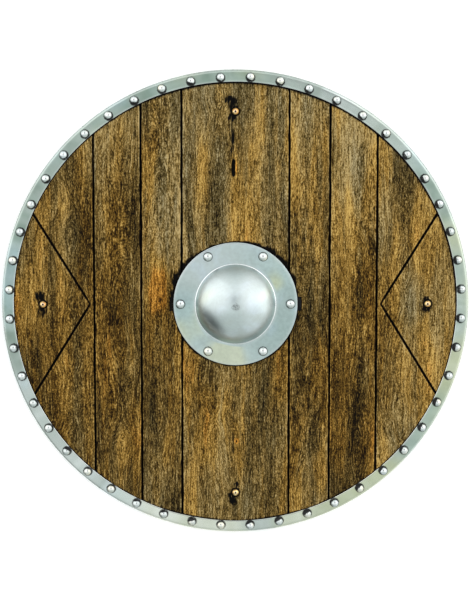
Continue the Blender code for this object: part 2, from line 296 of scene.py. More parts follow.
def metalGroup():
    # Cloudy patches, fine rubbed lines and sparse specks of a worn metal face
    tree, given, out = newGroup(
        "rubbedMetal",
        [("Vector", "v"), ("Patch Scale", "f"), ("Line Scale", "v"), ("Speck Scale", "f")],
        [("Patches", "f"), ("Lines", "f"), ("Specks", "f"), ("Height", "f")],
    )
    cloud = {"Vector": given["Vector"], "Scale": given["Patch Scale"], "Detail": 3.0, "Distortion": 0.6}
    patches = node(tree, "TexNoise", cloud).outputs[0]
    stretched = node(tree, "VectorMath", {0: given["Vector"], 1: given["Line Scale"]}, operation="MULTIPLY")
    lines = node(tree, "TexNoise", {"Vector": stretched.outputs[0], "Scale": 1.0, "Detail": 2.0}).outputs[0]
    dust = {"Vector": given["Vector"], "Scale": given["Speck Scale"], "Detail": 2.0, "Roughness": 0.7}
    specks = remap(tree, node(tree, "TexNoise", dust).outputs[0], 0.6, 0.75)
    height = plus(tree, times(tree, patches, 0.7), times(tree, lines, 0.3))
    shown = remap(tree, patches, 0.36, 0.64)
    feed(tree, out, {"Patches": shown, "Lines": lines, "Specks": specks, "Height": height})
    return tree


raggedGrimeAndShade = grimeAndShadeGroup()
rubbedMetal = metalGroup()
rivetDirtAndShade = rivetDirtAndShadeGroup()
print("stage: helpers and node groups ready")


# Boards

boardSettings = {
    "columnStep": 0.68, "rowStep": 2.3, "outerColumnStep": 0.68, "outerRowStep": 1.55,
    "backShare": 4,  # front columns to each back column
    "radius": 302.5,  # the ends are hidden in the fold of the rim
    "level": 13.5, "back": 1.5, "pitDepth": 0.30, "waveDepth": 0.22, "ringSpacing": 4.3,
    "jointDepth": 4.0,
    "sideReach": 0.145,  # the boards come this much closer to each other than the solids do
    "scoreApex": 190.0, "scoreSlope": 58.3, "scoreDepth": 2.8, "nailCircle": 251.5,
    # widths of the ragged band round the flange, dirt and painted shadow at its foot: everywhere, upper left,
    # upper right, both lower sides
    "bossBand": (1.6, 8.0, 5.6, 1.8),
    # widths of the painted shadow of the rim's lip, with some dirt: everywhere, towards the head, and by
    # noise
    "rimBand": (1.2, 2.6, 0.8),
    "lastJoint": 290.0,  # an edge further out than this is the board's end under the rim, not a joint
    "pocketStep": 0.04,  # half the width of the steep step at the pocket's walls
    "straightRows": 60.0,  # rows nearer the middle than this run straight across
    "pocketLength": 86.5, "pocketHalfWidth": 9.3, "pocketFloor": 6.9, "handHole": 51.0,
    "handHoleEase": 2.0, "rimInside": 289.5, "flange": 81.0,
    # how much lighter and warmer the boards are at each height: lighter and greyer towards the head
    "heights": (-290, -220, -130, -60, 0, 60, 110, 170, 245),
    "heightTone": (-0.05, -0.2, -0.4, -0.3, -0.12, 0.15, 0.25, 0.48, 0.95),
    "heightWarmth": (-0.25, -0.05, 0.12, 0.12, 0.02, -0.08, -0.14, -0.22, -0.38),
}

# Each board: its node, seed, place of the heart of its growth rings across it (0 to 1), how far the rings
# are drawn out into points there, and how light it is as a whole
boardList = {
    "boardOuterLeft": ("board_outer_left", 11, 0.72, 9, -0.60),
    "boardMiddleLeft": ("board_middle_left", 12, 0.55, 8, -0.60),
    "boardInnerLeft": ("board_inner_left", 13, 0.45, 8, 0.00),
    "boardCentre": ("board_centre", 14, 0.33, 12, 0.15),
    "boardInnerRight": ("board_inner_right", 15, 0.42, 8, 0.55),
    "boardMiddleRight": ("board_middle_right", 16, 0.60, 9, 0.05),
    "boardOuterRight": ("board_outer_right", 17, 0.30, 9, 0.60),
}

# Places where the stain was rubbed thin or left thick: x, y, half width, half length, lightness, warmth
stainPatches = [
    (-224, 134, 14, 34, 0.8, 0.4), (-99, 19, 13, 36, 0.9, 2.6), (28, 216, 13, 42, 0.9, 0.6),
    (-92, 134, 8, 40, 0.6, 0.3), (151, 150, 15, 62, 0.6, -0.1), (233, 108, 15, 32, 0.8, 0.1),
    (243, -43, 11, 27, 0.7, 0.8), (112, -226, 12, 28, 0.4, 1.0), (-26, -152, 13, 50, 0.6, 0.4),
    (-85, -199, 8, 36, 0.7, 0.6), (45, -86, 6, 30, 0.7, 0.6), (224, -146, 9, 36, 0.6, 0.5),
    (158, -149, 9, 44, -1.7, -0.5), (163, -93, 6, 22, -1.0, -0.6), (105, -24, 11, 32, -0.8, -0.3),
    (161, 16, 10, 40, -0.8, -0.2), (-131, 114, 8, 60, -0.8, -0.4), (-145, 180, 8, 40, -0.8, -0.3),
    (-99, 167, 6, 30, -0.7, -0.3), (60, 226, 5, 60, -1.1, -0.8), (61, 150, 5, 55, -1.0, -0.8),
    (112, 147, 7, 60, -0.8, -0.7), (-158, -10, 10, 32, -0.7, -0.2), (53, -162, 8, 36, -0.9, -0.4),
    (-112, -129, 13, 42, -0.5, -0.5), (-139, -138, 8, 36, -0.8, -0.3), (20, -262, 30, 24, -0.4, -0.5),
]


def grainPlace(x, y, left, right, seed, heart, swing):
    # Place across the growth rings: the distance from a wandering heart line, plus a swell near that line
    # that rises and falls along the board, so the rings close there in narrow points. The second value
    # goes from 0 to 1 across the heart, so that the two sides don't mirror each other
    line = left + (right - left) * heart + 6 * softNoise(y / 130, 0.5, seed + 60)
    across = x - line
    width = 0.16 * (right - left) + 4
    swell = swing * (softNoise(y / 48, 0.5, seed + 40) + 0.3 * softNoise(y / 19, 0.5, seed + 41))
    warp = 1.1 * softNoise(x / 8, y / 34, seed + 80) + 2.6 * softNoise(x / 19, y / 85, seed + 81)
    place = np.sqrt(across**2 + 2.5) + swell * np.exp(-((across / width) ** 2)) + warp
    return place, step(across, -2.5, 2.5)


def scoreDistance(x, y, side):
    # Distance from the two slanted lines that meet in a point beside the outer joint
    slope = math.radians(boardSettings["scoreSlope"])
    out = x * side - boardSettings["scoreApex"]
    along = out * math.cos(slope) + np.abs(y) * math.sin(slope)
    off = np.abs(out * math.sin(slope) - np.abs(y) * math.cos(slope))
    return np.where(along > 0, off, np.hypot(out, y)), along


def isJoint(edge):
    # An edge of a board that another board lies beside
    return abs(edge) < boardSettings["lastJoint"]


def boardFront(x, y, left, right, seed, rings):
    # Depth below the boards' level and the paint fields at every point of the front. Pores are noise that
    # is stretched along the board and read by growth ring; the depth of a joint or scored line is read off
    # its profile by the distance from it, and the deepest one counts
    settings = boardSettings
    pores = softNoise(rings / 1.45, y / 5.5, seed + 1) * 0.62 + softNoise(rings / 1.7, y / 17, seed + 2) * 0.5
    pores += 0.16 * np.cos(tau * rings / settings["ringSpacing"])
    pits = step(pores, -0.1, 0.75)
    depth = settings["pitDepth"] * pits
    depth += settings["waveDepth"] * halfNoise(x / 22, y / 110, seed + 3)
    grimeAndShade, wearAndSheen = np.zeros_like(x), np.zeros_like(x)
    for edge, inward in ((left, 1), (right, -1)):
        if not isJoint(edge):
            continue
        uneven = 1 + 0.22 * softNoise(y / 14, edge, seed + 30) + 0.1 * softNoise(y / 5, edge, seed + 31)
        gap = (x - edge) * inward / uneven
        groove = np.interp(gap, [0, 0.3, 0.8, 1.2, 1.5], [settings["jointDepth"]] * 2 + [2.1, 0.4, 0])
        depth = np.maximum(depth, groove)
        grimeAndShade = np.maximum(grimeAndShade, np.interp(gap, [0, 1.2, 1.5, 1.9], [1.3, 1.2, 0.5, 0]))
        # the light line beside the joint is partly a worn edge and partly a painted highlight
        glint = halfNoise(y / 30, edge, seed + 32)
        wearAndSheen = np.maximum(wearAndSheen, np.interp(gap, [1.3, 1.8, 2.4, 3.2], [0, 1, 0.7, 0]) * glint)
    if not (isJoint(left) and isJoint(right)):
        away, along = scoreDistance(x, y, math.copysign(1, left + right))
        narrow = np.interp(along, [0, 14], [0.6, 1.05])
        profile = [settings["scoreDepth"]] * 2 + [1.2, 0.25, 0]
        depth = np.maximum(depth, np.interp(away / narrow, [0, 0.4, 1.0, 1.5, 1.9], profile) * narrow)
        grimeAndShade = np.maximum(grimeAndShade, np.interp(away / narrow, [0, 1.1, 1.6, 2.1], [1, 1, 0.5, 0]))
        # the light line beside the scored line is partly a worn edge and partly a painted highlight
        glint = 0.6 + 0.4 * softNoise(y / 25, 3.5, seed + 33)
        wearAndSheen = np.maximum(wearAndSheen, np.interp(away, [1.5, 2.0, 2.7, 3.5], [0, 1, 0.7, 0]) * glint)
    # the pocket under the grip is painted black: painted shade in the recess
    inPocket = (np.abs(y) < settings["pocketHalfWidth"]) & (np.abs(x) < settings["pocketLength"])
    depth = np.where(inPocket, settings["level"] - settings["pocketFloor"], depth)
    grimeAndShade = np.where(inPocket, 1.2, grimeAndShade)
    return depth, pits, grimeAndShade, wearAndSheen


# Place, half width and half length of each mark; the gouge has its depth too, the pinhole only a radius
boardMarks = {
    "gouge": (-2.6, 178.0, 2.4, 11.5, 2.6),
    "gougeTrail": (-4.2, 213.0, 3.3, 28.0),
    "scratch": (-13.0, 230.0, 0.7, 11.0),
    "pinhole": (1.4, -182.3, 1.0),
    "pinholeStreak": (-3.2, -187.0, 1.9, 16.0),
    "smears": [  # beside the nails at the top, bottom, left and right
        (-4.0, 260.0, 6.6, 9.5), (-8.0, 265.5, 7.0, 6.0), (-4.5, 243.0, 6.0, 5.0),
        (-4.5, -260.0, 6.0, 9.0), (1.0, -240.5, 3.6, 3.0),
        (-255.5, 8.5, 8.2, 9.0), (-252.5, -9.5, 5.8, 8.0), (250.0, -6.5, 5.4, 6.0), (249.5, 6.5, 4.0, 4.0),
    ],
}


def blot(x, y, centreX, centreY, halfWidth, halfLength):
    # 1 in the middle of an ellipse, 0.5 at its edge, falling to 0
    reach = np.hypot((x - centreX) / halfWidth, (y - centreY) / halfLength)
    return np.clip(1.5 - reach, 0, 1)


def surfaceMarks(x, y, depth, grimeAndShade, wearAndSheen, warmth):
    # Gouge, pinhole, and the dirt and painted shade round the nails, the boss and the rim; the line beside
    # the rim is a painted shadow of its lip. Each is a share that falls with the distance from its middle, or
    # from its circle, over its width; noise makes it ragged, and the darkest one counts
    settings, marks = boardSettings, boardMarks
    gx, gy, halfWidth, halfLength, deep = marks["gouge"]
    cut = step(1.15 - np.hypot(((x - gx) / halfWidth) ** 2, ((y - gy) / halfLength) ** 3), 0, 0.5)
    depth = np.maximum(depth, deep * cut)
    torn = blot(x, y, gx + 3.6, gy + 1, 1.4, 12)
    wearAndSheen, warmth = np.maximum(wearAndSheen, 0.9 * torn), warmth + 1.6 * torn
    trail = blot(x, y, *marks["gougeTrail"]) * (1 + 0.5 * softNoise(x / 2, y / 9, 303))
    px, py, hole = marks["pinhole"]
    reach = np.hypot(x - px, y - py)
    depth = np.maximum(depth, 2.0 * step(hole - reach, -0.5, 0.3))
    ring = np.interp(reach, [0.9, 1.5, 2.6, 4.0], [0, 1, 0.9, 0])
    wearAndSheen, warmth = np.maximum(wearAndSheen, 0.9 * ring), warmth + 2.6 * ring
    shades = [grimeAndShade, 1.3 * cut, 0.66 * trail, 1.2 * step(hole - reach, -0.5, 0.2)]
    shades += [0.55 * blot(x, y, *marks["scratch"]), 0.6 * blot(x, y, *marks["pinholeStreak"])]
    ragged = 1 + 0.6 * softNoise(x / 1.8, y / 5, 304)
    shades += [np.minimum(0.9 * (blot(x, y, *smear) * ragged), 1.1) for smear in marks["smears"]]
    # dirt and painted shade round the foot of each nail
    for nailX, nailY in ((1, 0), (0, 1), (-1, 0), (0, -1)):
        reach = np.hypot(x - nailX * settings["nailCircle"], y - nailY * settings["nailCircle"])
        shades.append(np.interp(reach, [0, 5.4, 6.6, 8.2], [1, 0.9, 0.45, 0]))
        depth = depth + np.interp(reach, [0, 4.6, 8], [0.12, 0.12, 0])
    # dirt and painted shadow round the foot of the flange, wider at the upper left and upper right
    angle = np.degrees(np.arctan2(y, x))
    reach = np.hypot(x, y)
    upperLeft = np.exp(-(((angle - 152) / 24) ** 2))
    upperRight = np.exp(-(((angle - 48) / 30) ** 2))
    lowerSides = np.exp(-(((np.abs(angle + 90) - 45) / 22) ** 2))
    even, moreLeft, moreRight, moreLow = settings["bossBand"]
    band = even + moreLeft * upperLeft + moreRight * upperRight + moreLow * lowerSides
    band *= 1 + 0.45 * softNoise(angle / 5, reach / 20, 301)
    outside = reach - settings["flange"]
    shade = 0.82 * step(1.35 - outside / band, 0, 1.1) + 0.12 * softNoise(x / 3, y / 9, 305)
    shade = np.maximum(shade * (outside < 1.3 * band), step(1.2 - outside / (1.3 + 0.16 * band), 0, 1.1))
    shades.append(np.where(reach > 60, shade, 0.5))
    # painted shadow of the rim's lip on the boards, with some dirt, wider towards the head
    topShare = np.clip(np.sin(np.radians(angle + 22)), 0, 1)
    even, moreTop, moreNoise = settings["rimBand"]
    edge = even + moreTop * topShare**0.7 + moreNoise * np.clip(softNoise(angle / 7, 0, 302), 0, 1)
    toRim = settings["rimInside"] - reach
    shades.append(step(1.2 - toRim / edge, 0, 1.1))
    # a wider, fainter painted shade beside the rim, darker towards the head
    shades.append(0.42 * step(1 - toRim / 11, 0, 1) * (0.4 + 0.6 * topShare))
    return depth, np.maximum.reduce(shades), wearAndSheen, warmth


def boardColumns(left, right, columnStep, extra):
    # Places across the board: close together at joints and pocket walls, even elsewhere, and a whole
    # number of back columns
    near = [0.0, 0.3, 0.8, 1.2, 1.6, 2.2]
    joints = [left + gap for gap in near] if isJoint(left) else [left]
    joints += [right - gap for gap in near] if isJoint(right) else [right]
    fixed = sorted(joints + [place for place in extra if left + 3 < place < right - 3])
    low = fixed[len(near) - 1] if isJoint(left) else left
    high = fixed[-len(near)] if isJoint(right) else right
    share = boardSettings["backShare"]
    count = int(round((high - low) / columnStep))
    for more in range(4 * share):
        even = np.linspace(low, high, count + more + 1)[1:-1]
        for place in extra:
            even = even[np.abs(even - place) > 0.3 * columnStep]
        columns = np.array(sorted(list(even) + fixed))
        if (len(columns) - 1) % share == 0:
            break
    return columns


def boardRows(longest, rowStep, extra):
    # Even places along the board, with the pocket's walls in place of those beside them
    rows = np.linspace(-longest, longest, int(round(2 * longest / rowStep)) + 1)
    for place in extra:
        rows = rows[np.abs(rows - place) > 0.3 * rowStep]
    return np.array(sorted(list(rows) + list(extra)))


def makeBoard(name, material):
    # A closed bar: the front face as a fine grid, the back as a coarser one, and both ends capped. Rows
    # are straight in the middle and are squeezed outwards so that the last ends on the circle of the
    # board's radius, at y = square root of radius^2 - x^2
    settings = boardSettings
    nodeName, seed, heart, swing, light = boardList[name]
    low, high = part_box(nodeName)
    left, right = low.x / mm, high.x / mm
    outer = not (isJoint(left) and isJoint(right))
    left = max(left - settings["sideReach"], -settings["radius"] * 0.999)
    right = min(right + settings["sideReach"], settings["radius"] * 0.999)
    pocketColumns, pocketRows = (
        [side * (settings[key] + turn * settings["pocketStep"]) for side in (-1, 1) for turn in (-1, 1)]
        for key in ("pocketLength", "pocketHalfWidth")
    )
    columns = boardColumns(left, right, settings["outerColumnStep" if outer else "columnStep"], pocketColumns)
    share = settings["backShare"]
    backColumns = columns[::share]
    halfLength = np.sqrt(settings["radius"] ** 2 - columns**2)
    longest = halfLength.max()
    rows = boardRows(longest, settings["outerRowStep" if outer else "rowStep"], [] if outer else pocketRows)
    steady = min(settings["straightRows"], 0.5 * halfLength.min())

    def along(reach):
        # The part of each row's y beyond the straight ones shrinks with the half length at its column
        stretch = (reach - steady) / (longest - steady)
        beyond = steady + (np.abs(rows)[:, None] - steady) * stretch[None, :]
        return np.where(np.abs(rows)[:, None] < steady, rows[:, None], np.sign(rows)[:, None] * beyond)

    x = np.repeat(columns[None, :], len(rows), axis=0)
    y = along(halfLength)
    rings, side = grainPlace(x, y, left, right, seed, heart, swing)
    depth, pits, grimeAndShade, wearAndSheen = boardFront(x, y, left, right, seed, rings)
    # wide areas that are lighter are also greyer; narrow ones that are lighter are also more golden
    wide = light + 1.2 * softNoise(x / 38, y / 120, seed + 4)
    narrow = 0.8 * softNoise(x / 15, y / 90, seed + 5) + 0.55 * softNoise(rings / 6, y / 70, seed + 6)
    tone = wide + narrow + np.interp(y, settings["heights"], settings["heightTone"])
    warmth = 0.40 + 0.8 * softNoise(x / 19, y / 90, seed + 7) + 0.4 * softNoise(rings / 4, y / 45, seed + 9)
    warmth += 0.6 * narrow - 0.1 * np.clip(wide, -0.6, 1.5)
    warmth += np.interp(y, settings["heights"], settings["heightWarmth"])
    for px, py, halfWidth, halfLong, lighter, warmer in stainPatches:
        if left - 4 < px < right + 4:
            wander = 3 * softNoise(y / 18, px, seed + 8)
            reach = ((x - px + wander) / halfWidth) ** 2 + ((y - py) / halfLong) ** 2
            strength = np.exp(-(reach**1.5))
            tone, warmth = tone + lighter * strength, warmth + warmer * strength
    depth, grimeAndShade, wearAndSheen, warmth = surfaceMarks(x, y, depth, grimeAndShade, wearAndSheen, warmth)
    front = stacked(x, y, settings["level"] - depth)

    bx = np.repeat(backColumns[None, :], len(rows), axis=0)
    by = y[:, ::share]
    eased = np.minimum(np.abs(bx - left) if isJoint(left) else 9, np.abs(right - bx) if isJoint(right) else 9)
    bz = settings["back"] + 0.9 * step(1.2 - eased, 0, 1.2)
    bz = bz + 0.10 * (1 + softNoise(bx / 3, by / 30, seed + 9))
    backRings, backSide = grainPlace(bx, by, left, right, seed + 20, 1 - heart, swing)
    back = stacked(bx, by, bz)[:, ::-1]

    points = np.concatenate([front, back], axis=1)
    rowCount, around = points.shape[:2]
    frontCount, backCount = len(columns), len(backColumns)
    faces = gridFaces(rowCount, around, closedColumns=True)
    cell = np.arange(backCount - 1)[:, None]
    lower = frontCount + backCount - 1 - cell
    cap = np.concatenate([lower, lower - 1, (cell + 1) * share - np.arange(share + 1)[None, :]], axis=1)
    farCap = cap[:, ::-1] + (rowCount - 1) * around

    def joined(frontValues, backValues):
        # A field of the front and one of the back, in the order of the points
        return np.concatenate([frontValues, np.broadcast_to(backValues, bx.shape)[:, ::-1]], axis=1)

    fields = {
        "rings": joined(rings, backRings) * mm,
        "plank": joined(side, backSide) * 2.6 + seed * 5.37,
        "tone": joined(tone, light - 0.5 + 0.3 * softNoise(bx / 16, by / 95, seed + 25)),
        "warmth": joined(warmth, -0.3),
        "pits": joined(pits, 0.25),
        "grimeAndShade": joined(grimeAndShade, 0.9 * step(1.4 - eased, 0, 1.2)),
        "wearAndSheen": joined(wearAndSheen, 0.0),
    }
    faceSets = [faces, cap, farCap]
    return meshPiece(name, points, faceSets, material, [nodeName], fields, 50)


def cutHandHole(board):
    # A turned cutter of the hole's radius, wider by the ease at the back, taken out of the board for good
    settings = boardSettings
    hole, ease, back = settings["handHole"], settings["handHoleEase"], settings["back"]
    section = np.array([(0, 20), (hole, 20), (hole, back + ease), (hole + ease + 1, back - 1), (0, back - 1)])
    points = turnedPoints(section, 96) * mm
    faces = [face.tolist() for group in turnedFaces(96, len(section)) for face in group]
    mesh = bpy.data.meshes.new("handHoleCutter")
    mesh.from_pydata(points.tolist(), [], faces)
    cutter = newObject("handHoleCutter", mesh)
    modifier = board.modifiers.new("handHole", "BOOLEAN")
    modifier.operation = "DIFFERENCE"
    modifier.object = cutter
    modifier.solver = "EXACT"
    bpy.context.view_layer.update()
    cut = bpy.data.meshes.new_from_object(board.evaluated_get(bpy.context.evaluated_depsgraph_get()))
    board.modifiers.clear()
    board.data = cut
    bpy.data.objects.remove(cutter)


woodSettings = {
    "colours": [  # from the deepest flecks to the most rubbed ridges
        (0.00, (12, 6, 0)),
        (0.13, (32, 20, 2)),
        (0.35, (67, 51, 17)),
        (0.46, (88, 69, 30)),
        (0.55, (104, 83, 39)),
        (0.65, (121, 98, 51)),
        (0.81, (148, 124, 74)),
        (1.00, (180, 157, 106)),
    ],
    # what the warm, the bare and the grey areas multiply the colour by, red, green and blue
    "golden": (1.17, 1.02, 0.67),
    "orange": (1.50, 1.02, 0.44),
    "grey": (0.76, 0.86, 1.14),
    "stainAndShade": (5, 4, 3),
    "roughness": 0.55, "specular": 0.07, "bump": 0.16,
    # each layer of flecks: scale across the rings, scale along the board, detail, weight
    "layers": {
        "flecks": (1120, 400, 2.0, 1.65),
        "dashes": (840, 100, 2.0, 1.25),
        "streaks": (650, 20, 2.0, 0.80),
        "bands": (75, 8, 2.0, 0.40),
    },
    "layerStep": 17.3,  # how far apart the layers read the noise
    # sparse dark strokes: scale across and along, detail, where they start and are full, weight
    "strokes": (560, 85, 1.0, 0.58, 0.68, -0.20),
    "strokeStep": 91.7, "lift": 0.012, "drift": 1.2,
    "grimeAndShadeGrain": (700, 160, 1),
    "fineGrain": (1500, 260, 1),
    "tone": 0.135, "lateWood": 0.02, "pits": -0.14, "wearAndSheen": 0.26,
}


def makeWood():
    # Flecks follow the growth rings: the noise reads the place across them and y along the board. The
    # lightness is the sum of all layers round 0.5, and picks the colour
    settings = woodSettings
    material, tree, shader = newMaterial("stainedBoards")
    place = node(tree, "TexCoord").outputs["Object"]
    parts = node(tree, "SeparateXYZ", {0: place}).outputs
    rings = field(tree, "rings")

    def grainAt(shift):
        # The grain's own space: growth ring, y along the board, and a number that sets boards apart
        own = plus(tree, field(tree, "plank"), shift)
        return node(tree, "CombineXYZ", {0: rings, 1: parts[1], 2: own}).outputs[0]

    value, layers = 0.5, {}
    for index, (name, (across, along, detail, weight)) in enumerate(settings["layers"].items()):
        grain = grainAt(index * settings["layerStep"])
        layers[name] = noiseAt(tree, grain, (across, along, 1), detail, 0.55)
        value = plus(tree, value, weighed(tree, layers[name], 0.5, weight))
    across, along, detail, low, high, weight = settings["strokes"]
    strokes = noiseAt(tree, grainAt(settings["strokeStep"]), (across, along, 1), detail)
    strokes = remap(tree, strokes, low, high, 0.0, weight)
    value = plus(tree, value, plus(tree, strokes, settings["lift"]))
    late = sums(tree, "SINE", times(tree, rings, tau / (boardSettings["ringSpacing"] * mm)))
    for source, centre, weight in (
        (field(tree, "tone"), 0.0, settings["tone"]),
        (late, 0.0, settings["lateWood"]),
        (field(tree, "pits"), 0.35, settings["pits"]),
        (field(tree, "wearAndSheen"), 0.0, settings["wearAndSheen"]),
    ):
        value = plus(tree, value, weighed(tree, source, centre, weight))
    ramp = node(tree, "ValToRGB", {0: value})
    stops = ramp.color_ramp.elements
    for index, (spot, colour) in enumerate(settings["colours"]):
        stop = stops[index] if index < 2 else stops.new(spot)
        stop.position, stop.color = spot, paint(*colour)
    warm = plus(tree, field(tree, "warmth"), weighed(tree, layers["dashes"], 0.5, settings["drift"]))
    tint = (1.0, 1.0, 1.0, 1.0)
    for key, low, high in (("golden", 0.0, 0.9), ("orange", 1.1, 2.3), ("grey", 0.1, -0.9)):
        tint = blended(tree, remap(tree, warm, low, high), tint, (*settings[key], 1.0))
    colour = blended(tree, 1.0, ramp.outputs[0], tint, "MULTIPLY")
    grain = grainAt(0.0)
    # the grime field also holds painted shade: beside the rim, round the flange and nails, and in the pocket
    grimeAndShadeMask = placed(tree, raggedGrimeAndShade, {
        "Vector": grain, "GrimeAndShade": field(tree, "grimeAndShade"), "Grain": settings["grimeAndShadeGrain"], "Raggedness": 0.9,
    })["Mask"]
    satin = remap(tree, value, 0.1, 0.9, settings["roughness"] + 0.14, settings["roughness"] - 0.08)
    fine = times(tree, noiseAt(tree, grain, settings["fineGrain"], 3.0, 0.6), 0.3)
    height = plus(tree, plus(tree, layers["flecks"], layers["dashes"]), fine)
    bump = node(tree, "Bump", {"Strength": 0.8, "Distance": settings["bump"] * mm, "Height": height})
    feed(tree, shader, {
        "Base Color": blended(tree, grimeAndShadeMask, colour, paint(*settings["stainAndShade"])),
        "Roughness": plus(tree, satin, times(tree, grimeAndShadeMask, 0.2)),
        "Specular IOR Level": settings["specular"],
        "Normal": bump.outputs[0],
    })
    return material


wood = makeWood()
boardPieces = {name: makeBoard(name, wood) for name in boardList}
cutHandHole(boardPieces["boardCentre"])
print("stage: seven boards,", sum(len(piece.data.polygons) for piece in boardPieces.values()), "faces")


# Metals

# Each metal's four colours, and in the order of the names below its other values
metalFields = (
    "colour", "patch", "cool", "warm",
    "roughness", "patchScale", "driftScale", "lineScale", "speckScale", "bump",
)
metalList = {
    "rim": (
        (166, 184, 173), (130, 150, 138), (164, 188, 192), (180, 188, 154),
        0.36, 14.0, 7.0, (60, 60, 900), 700.0, 0.05,
    ),
    "boss": (
        (170, 191, 189), (152, 173, 170), (170, 192, 202), (182, 192, 164),
        0.46, 24.0, 15.0, (220, 220, 900), 600.0, 0.04,
    ),
    "rivet": (
        (214, 221, 219), (180, 191, 187), (212, 221, 224), (216, 216, 198),
        0.22, 160.0, 40.0, (900, 900, 900), 1200.0, 0.02,
    ),
    "brass": (
        (240, 208, 134), (176, 126, 58), (238, 208, 140), (226, 168, 84),
        0.24, 260.0, 90.0, (900, 900, 900), 1300.0, 0.03,
    ),
    "iron": (
        (34, 33, 32), (20, 19, 18), (30, 31, 33), (34, 31, 28),
        0.55, 90.0, 20.0, (80, 900, 900), 800.0, 0.12,
    ),
}
metalShared = {
    "wornAndSheen": (248, 248, 248), "dirtAndShade": (15, 18, 18), "speck": (96, 100, 92),
    "wornAndSheenShare": 0.8, "dirtAndShadeShare": 0.70, "speckShare": 0.25,
    "tintShare": 0.13,  # how much the tint field moves the drift between warm and cool
    "smoothest": 0.12,
    # the rim's circle of dirt and painted shade round its rivets, in metres
    "rimDirtAndShade": {
        "Circle": 0.2965, "Count": 48.0, "Near": 0.0056, "Far": 0.0078, "Inset": 0.0012, "Level": 0.007,
    },
}


def makeMetal(name, key, dirtAndShade=None):
    # Base colour with cloudy patches and rubbed lines, bright on worn edges and painted highlights, dark
    # where grime and painted shade sit. A slow noise takes the tint from warm through the plain colour to
    # cool
    shared, settings = metalShared, dict(zip(metalFields, metalList[key]))
    material, tree, shader = newMaterial(name)
    place = node(tree, "TexCoord").outputs["Object"]
    face = placed(tree, rubbedMetal, {
        "Vector": place, "Patch Scale": settings["patchScale"],
        "Line Scale": settings["lineScale"], "Speck Scale": settings["speckScale"],
    })
    drift = noiseAt(tree, place, (settings["driftScale"],) * 3, 1.0)
    drift = plus(tree, drift, times(tree, field(tree, "tint"), shared["tintShare"]))
    colour, cool = (
        blended(tree, face["Patches"], paint(*settings[tone]), paint(*settings["patch"]))
        for tone in ("colour", "cool")
    )
    colour = blended(tree, remap(tree, drift, 0.50, 0.66), colour, cool)
    colour = blended(tree, remap(tree, drift, 0.48, 0.34), colour, paint(*settings["warm"]))
    lineShade = remap(tree, face["Lines"], 0.3, 0.7, 0.93, 1.05)
    colour = blended(tree, 1.0, colour, lineShade, "MULTIPLY")
    wearAndSheen, grimeAndShade = field(tree, "wearAndSheen"), field(tree, "grimeAndShade")
    # the wear field also holds painted highlights: the rim's edges, the boss's fillet and the rivets' crowns
    for mask, what in ((face["Specks"], "speck"), (wearAndSheen, "wornAndSheen")):
        share = times(tree, mask, shared[what + "Share"])
        colour = blended(tree, share, colour, paint(*shared[what]))
    if dirtAndShade:
        ring = placed(tree, rivetDirtAndShade, dict(dirtAndShade, Vector=place))["Mask"]
        grimeAndShade = sums(tree, "MAXIMUM", grimeAndShade, times(tree, ring, shared["dirtAndShadeShare"]))
    # the grime field also holds painted shade: the rivets' feet and crescents, and the rim's outer corner
    grimeAndShadeMask = placed(tree, raggedGrimeAndShade, {
        "Vector": place, "GrimeAndShade": grimeAndShade, "Grain": (500, 500, 500), "Raggedness": 0.7,
    })["Mask"]
    rough = remap(tree, face["Patches"], 0.0, 1.0, settings["roughness"] - 0.03, settings["roughness"] + 0.05)
    rough = sums(tree, "SUBTRACT", rough, times(tree, wearAndSheen, 0.35))
    rough = sums(tree, "MAXIMUM", rough, shared["smoothest"])
    bump = node(tree, "Bump", {"Strength": 0.5, "Distance": settings["bump"] * mm, "Height": face["Height"]})
    feed(tree, shader, {
        "Base Color": blended(tree, grimeAndShadeMask, colour, paint(*shared["dirtAndShade"])),
        "Roughness": sums(tree, "ADD", rough, times(tree, grimeAndShadeMask, 0.3), clamp=True),
        "Metallic": remap(tree, grimeAndShadeMask, 0.0, 1.0, 1.0, 0.35),
        "Normal": bump.outputs[0],
    })
    return material


rimSteel = makeMetal("rimSteel", "rim", metalShared["rimDirtAndShade"])
bossSteel = makeMetal("bossSteel", "boss")
rivetSteel = makeMetal("rivetSteel", "rivet")
nailBrass = makeMetal("nailBrass", "brass")
blackIron = makeMetal("blackIron", "iron")
print("stage: metals ready")


# Rim

rimSettings = {
    "outside": 305.0, "inside": 289.5, "height": 15.0, "sheet": 1.2, "corner": 3.5,
    "turns": 576, "edgeRound": 0.55, "waver": 0.22, "dents": 0.10, "wallDents": 0.12,
    # how much lighter the front is at every 30 degrees, from the right by the top
    "shine": (0.22, 0.00, 0.52, 0.00, 0.12, 0.16, 0.00, 0.50, 0.58, 0.64, 0.16, 0.04),
    # the same for its tint, from warm below 0 to cool above it
    "tint": (-0.3, 0.5, 0.9, 0.3, 1.0, -0.4, 0.7, 0.0, 0.6, -1.5, -1.2, -1.2),
}


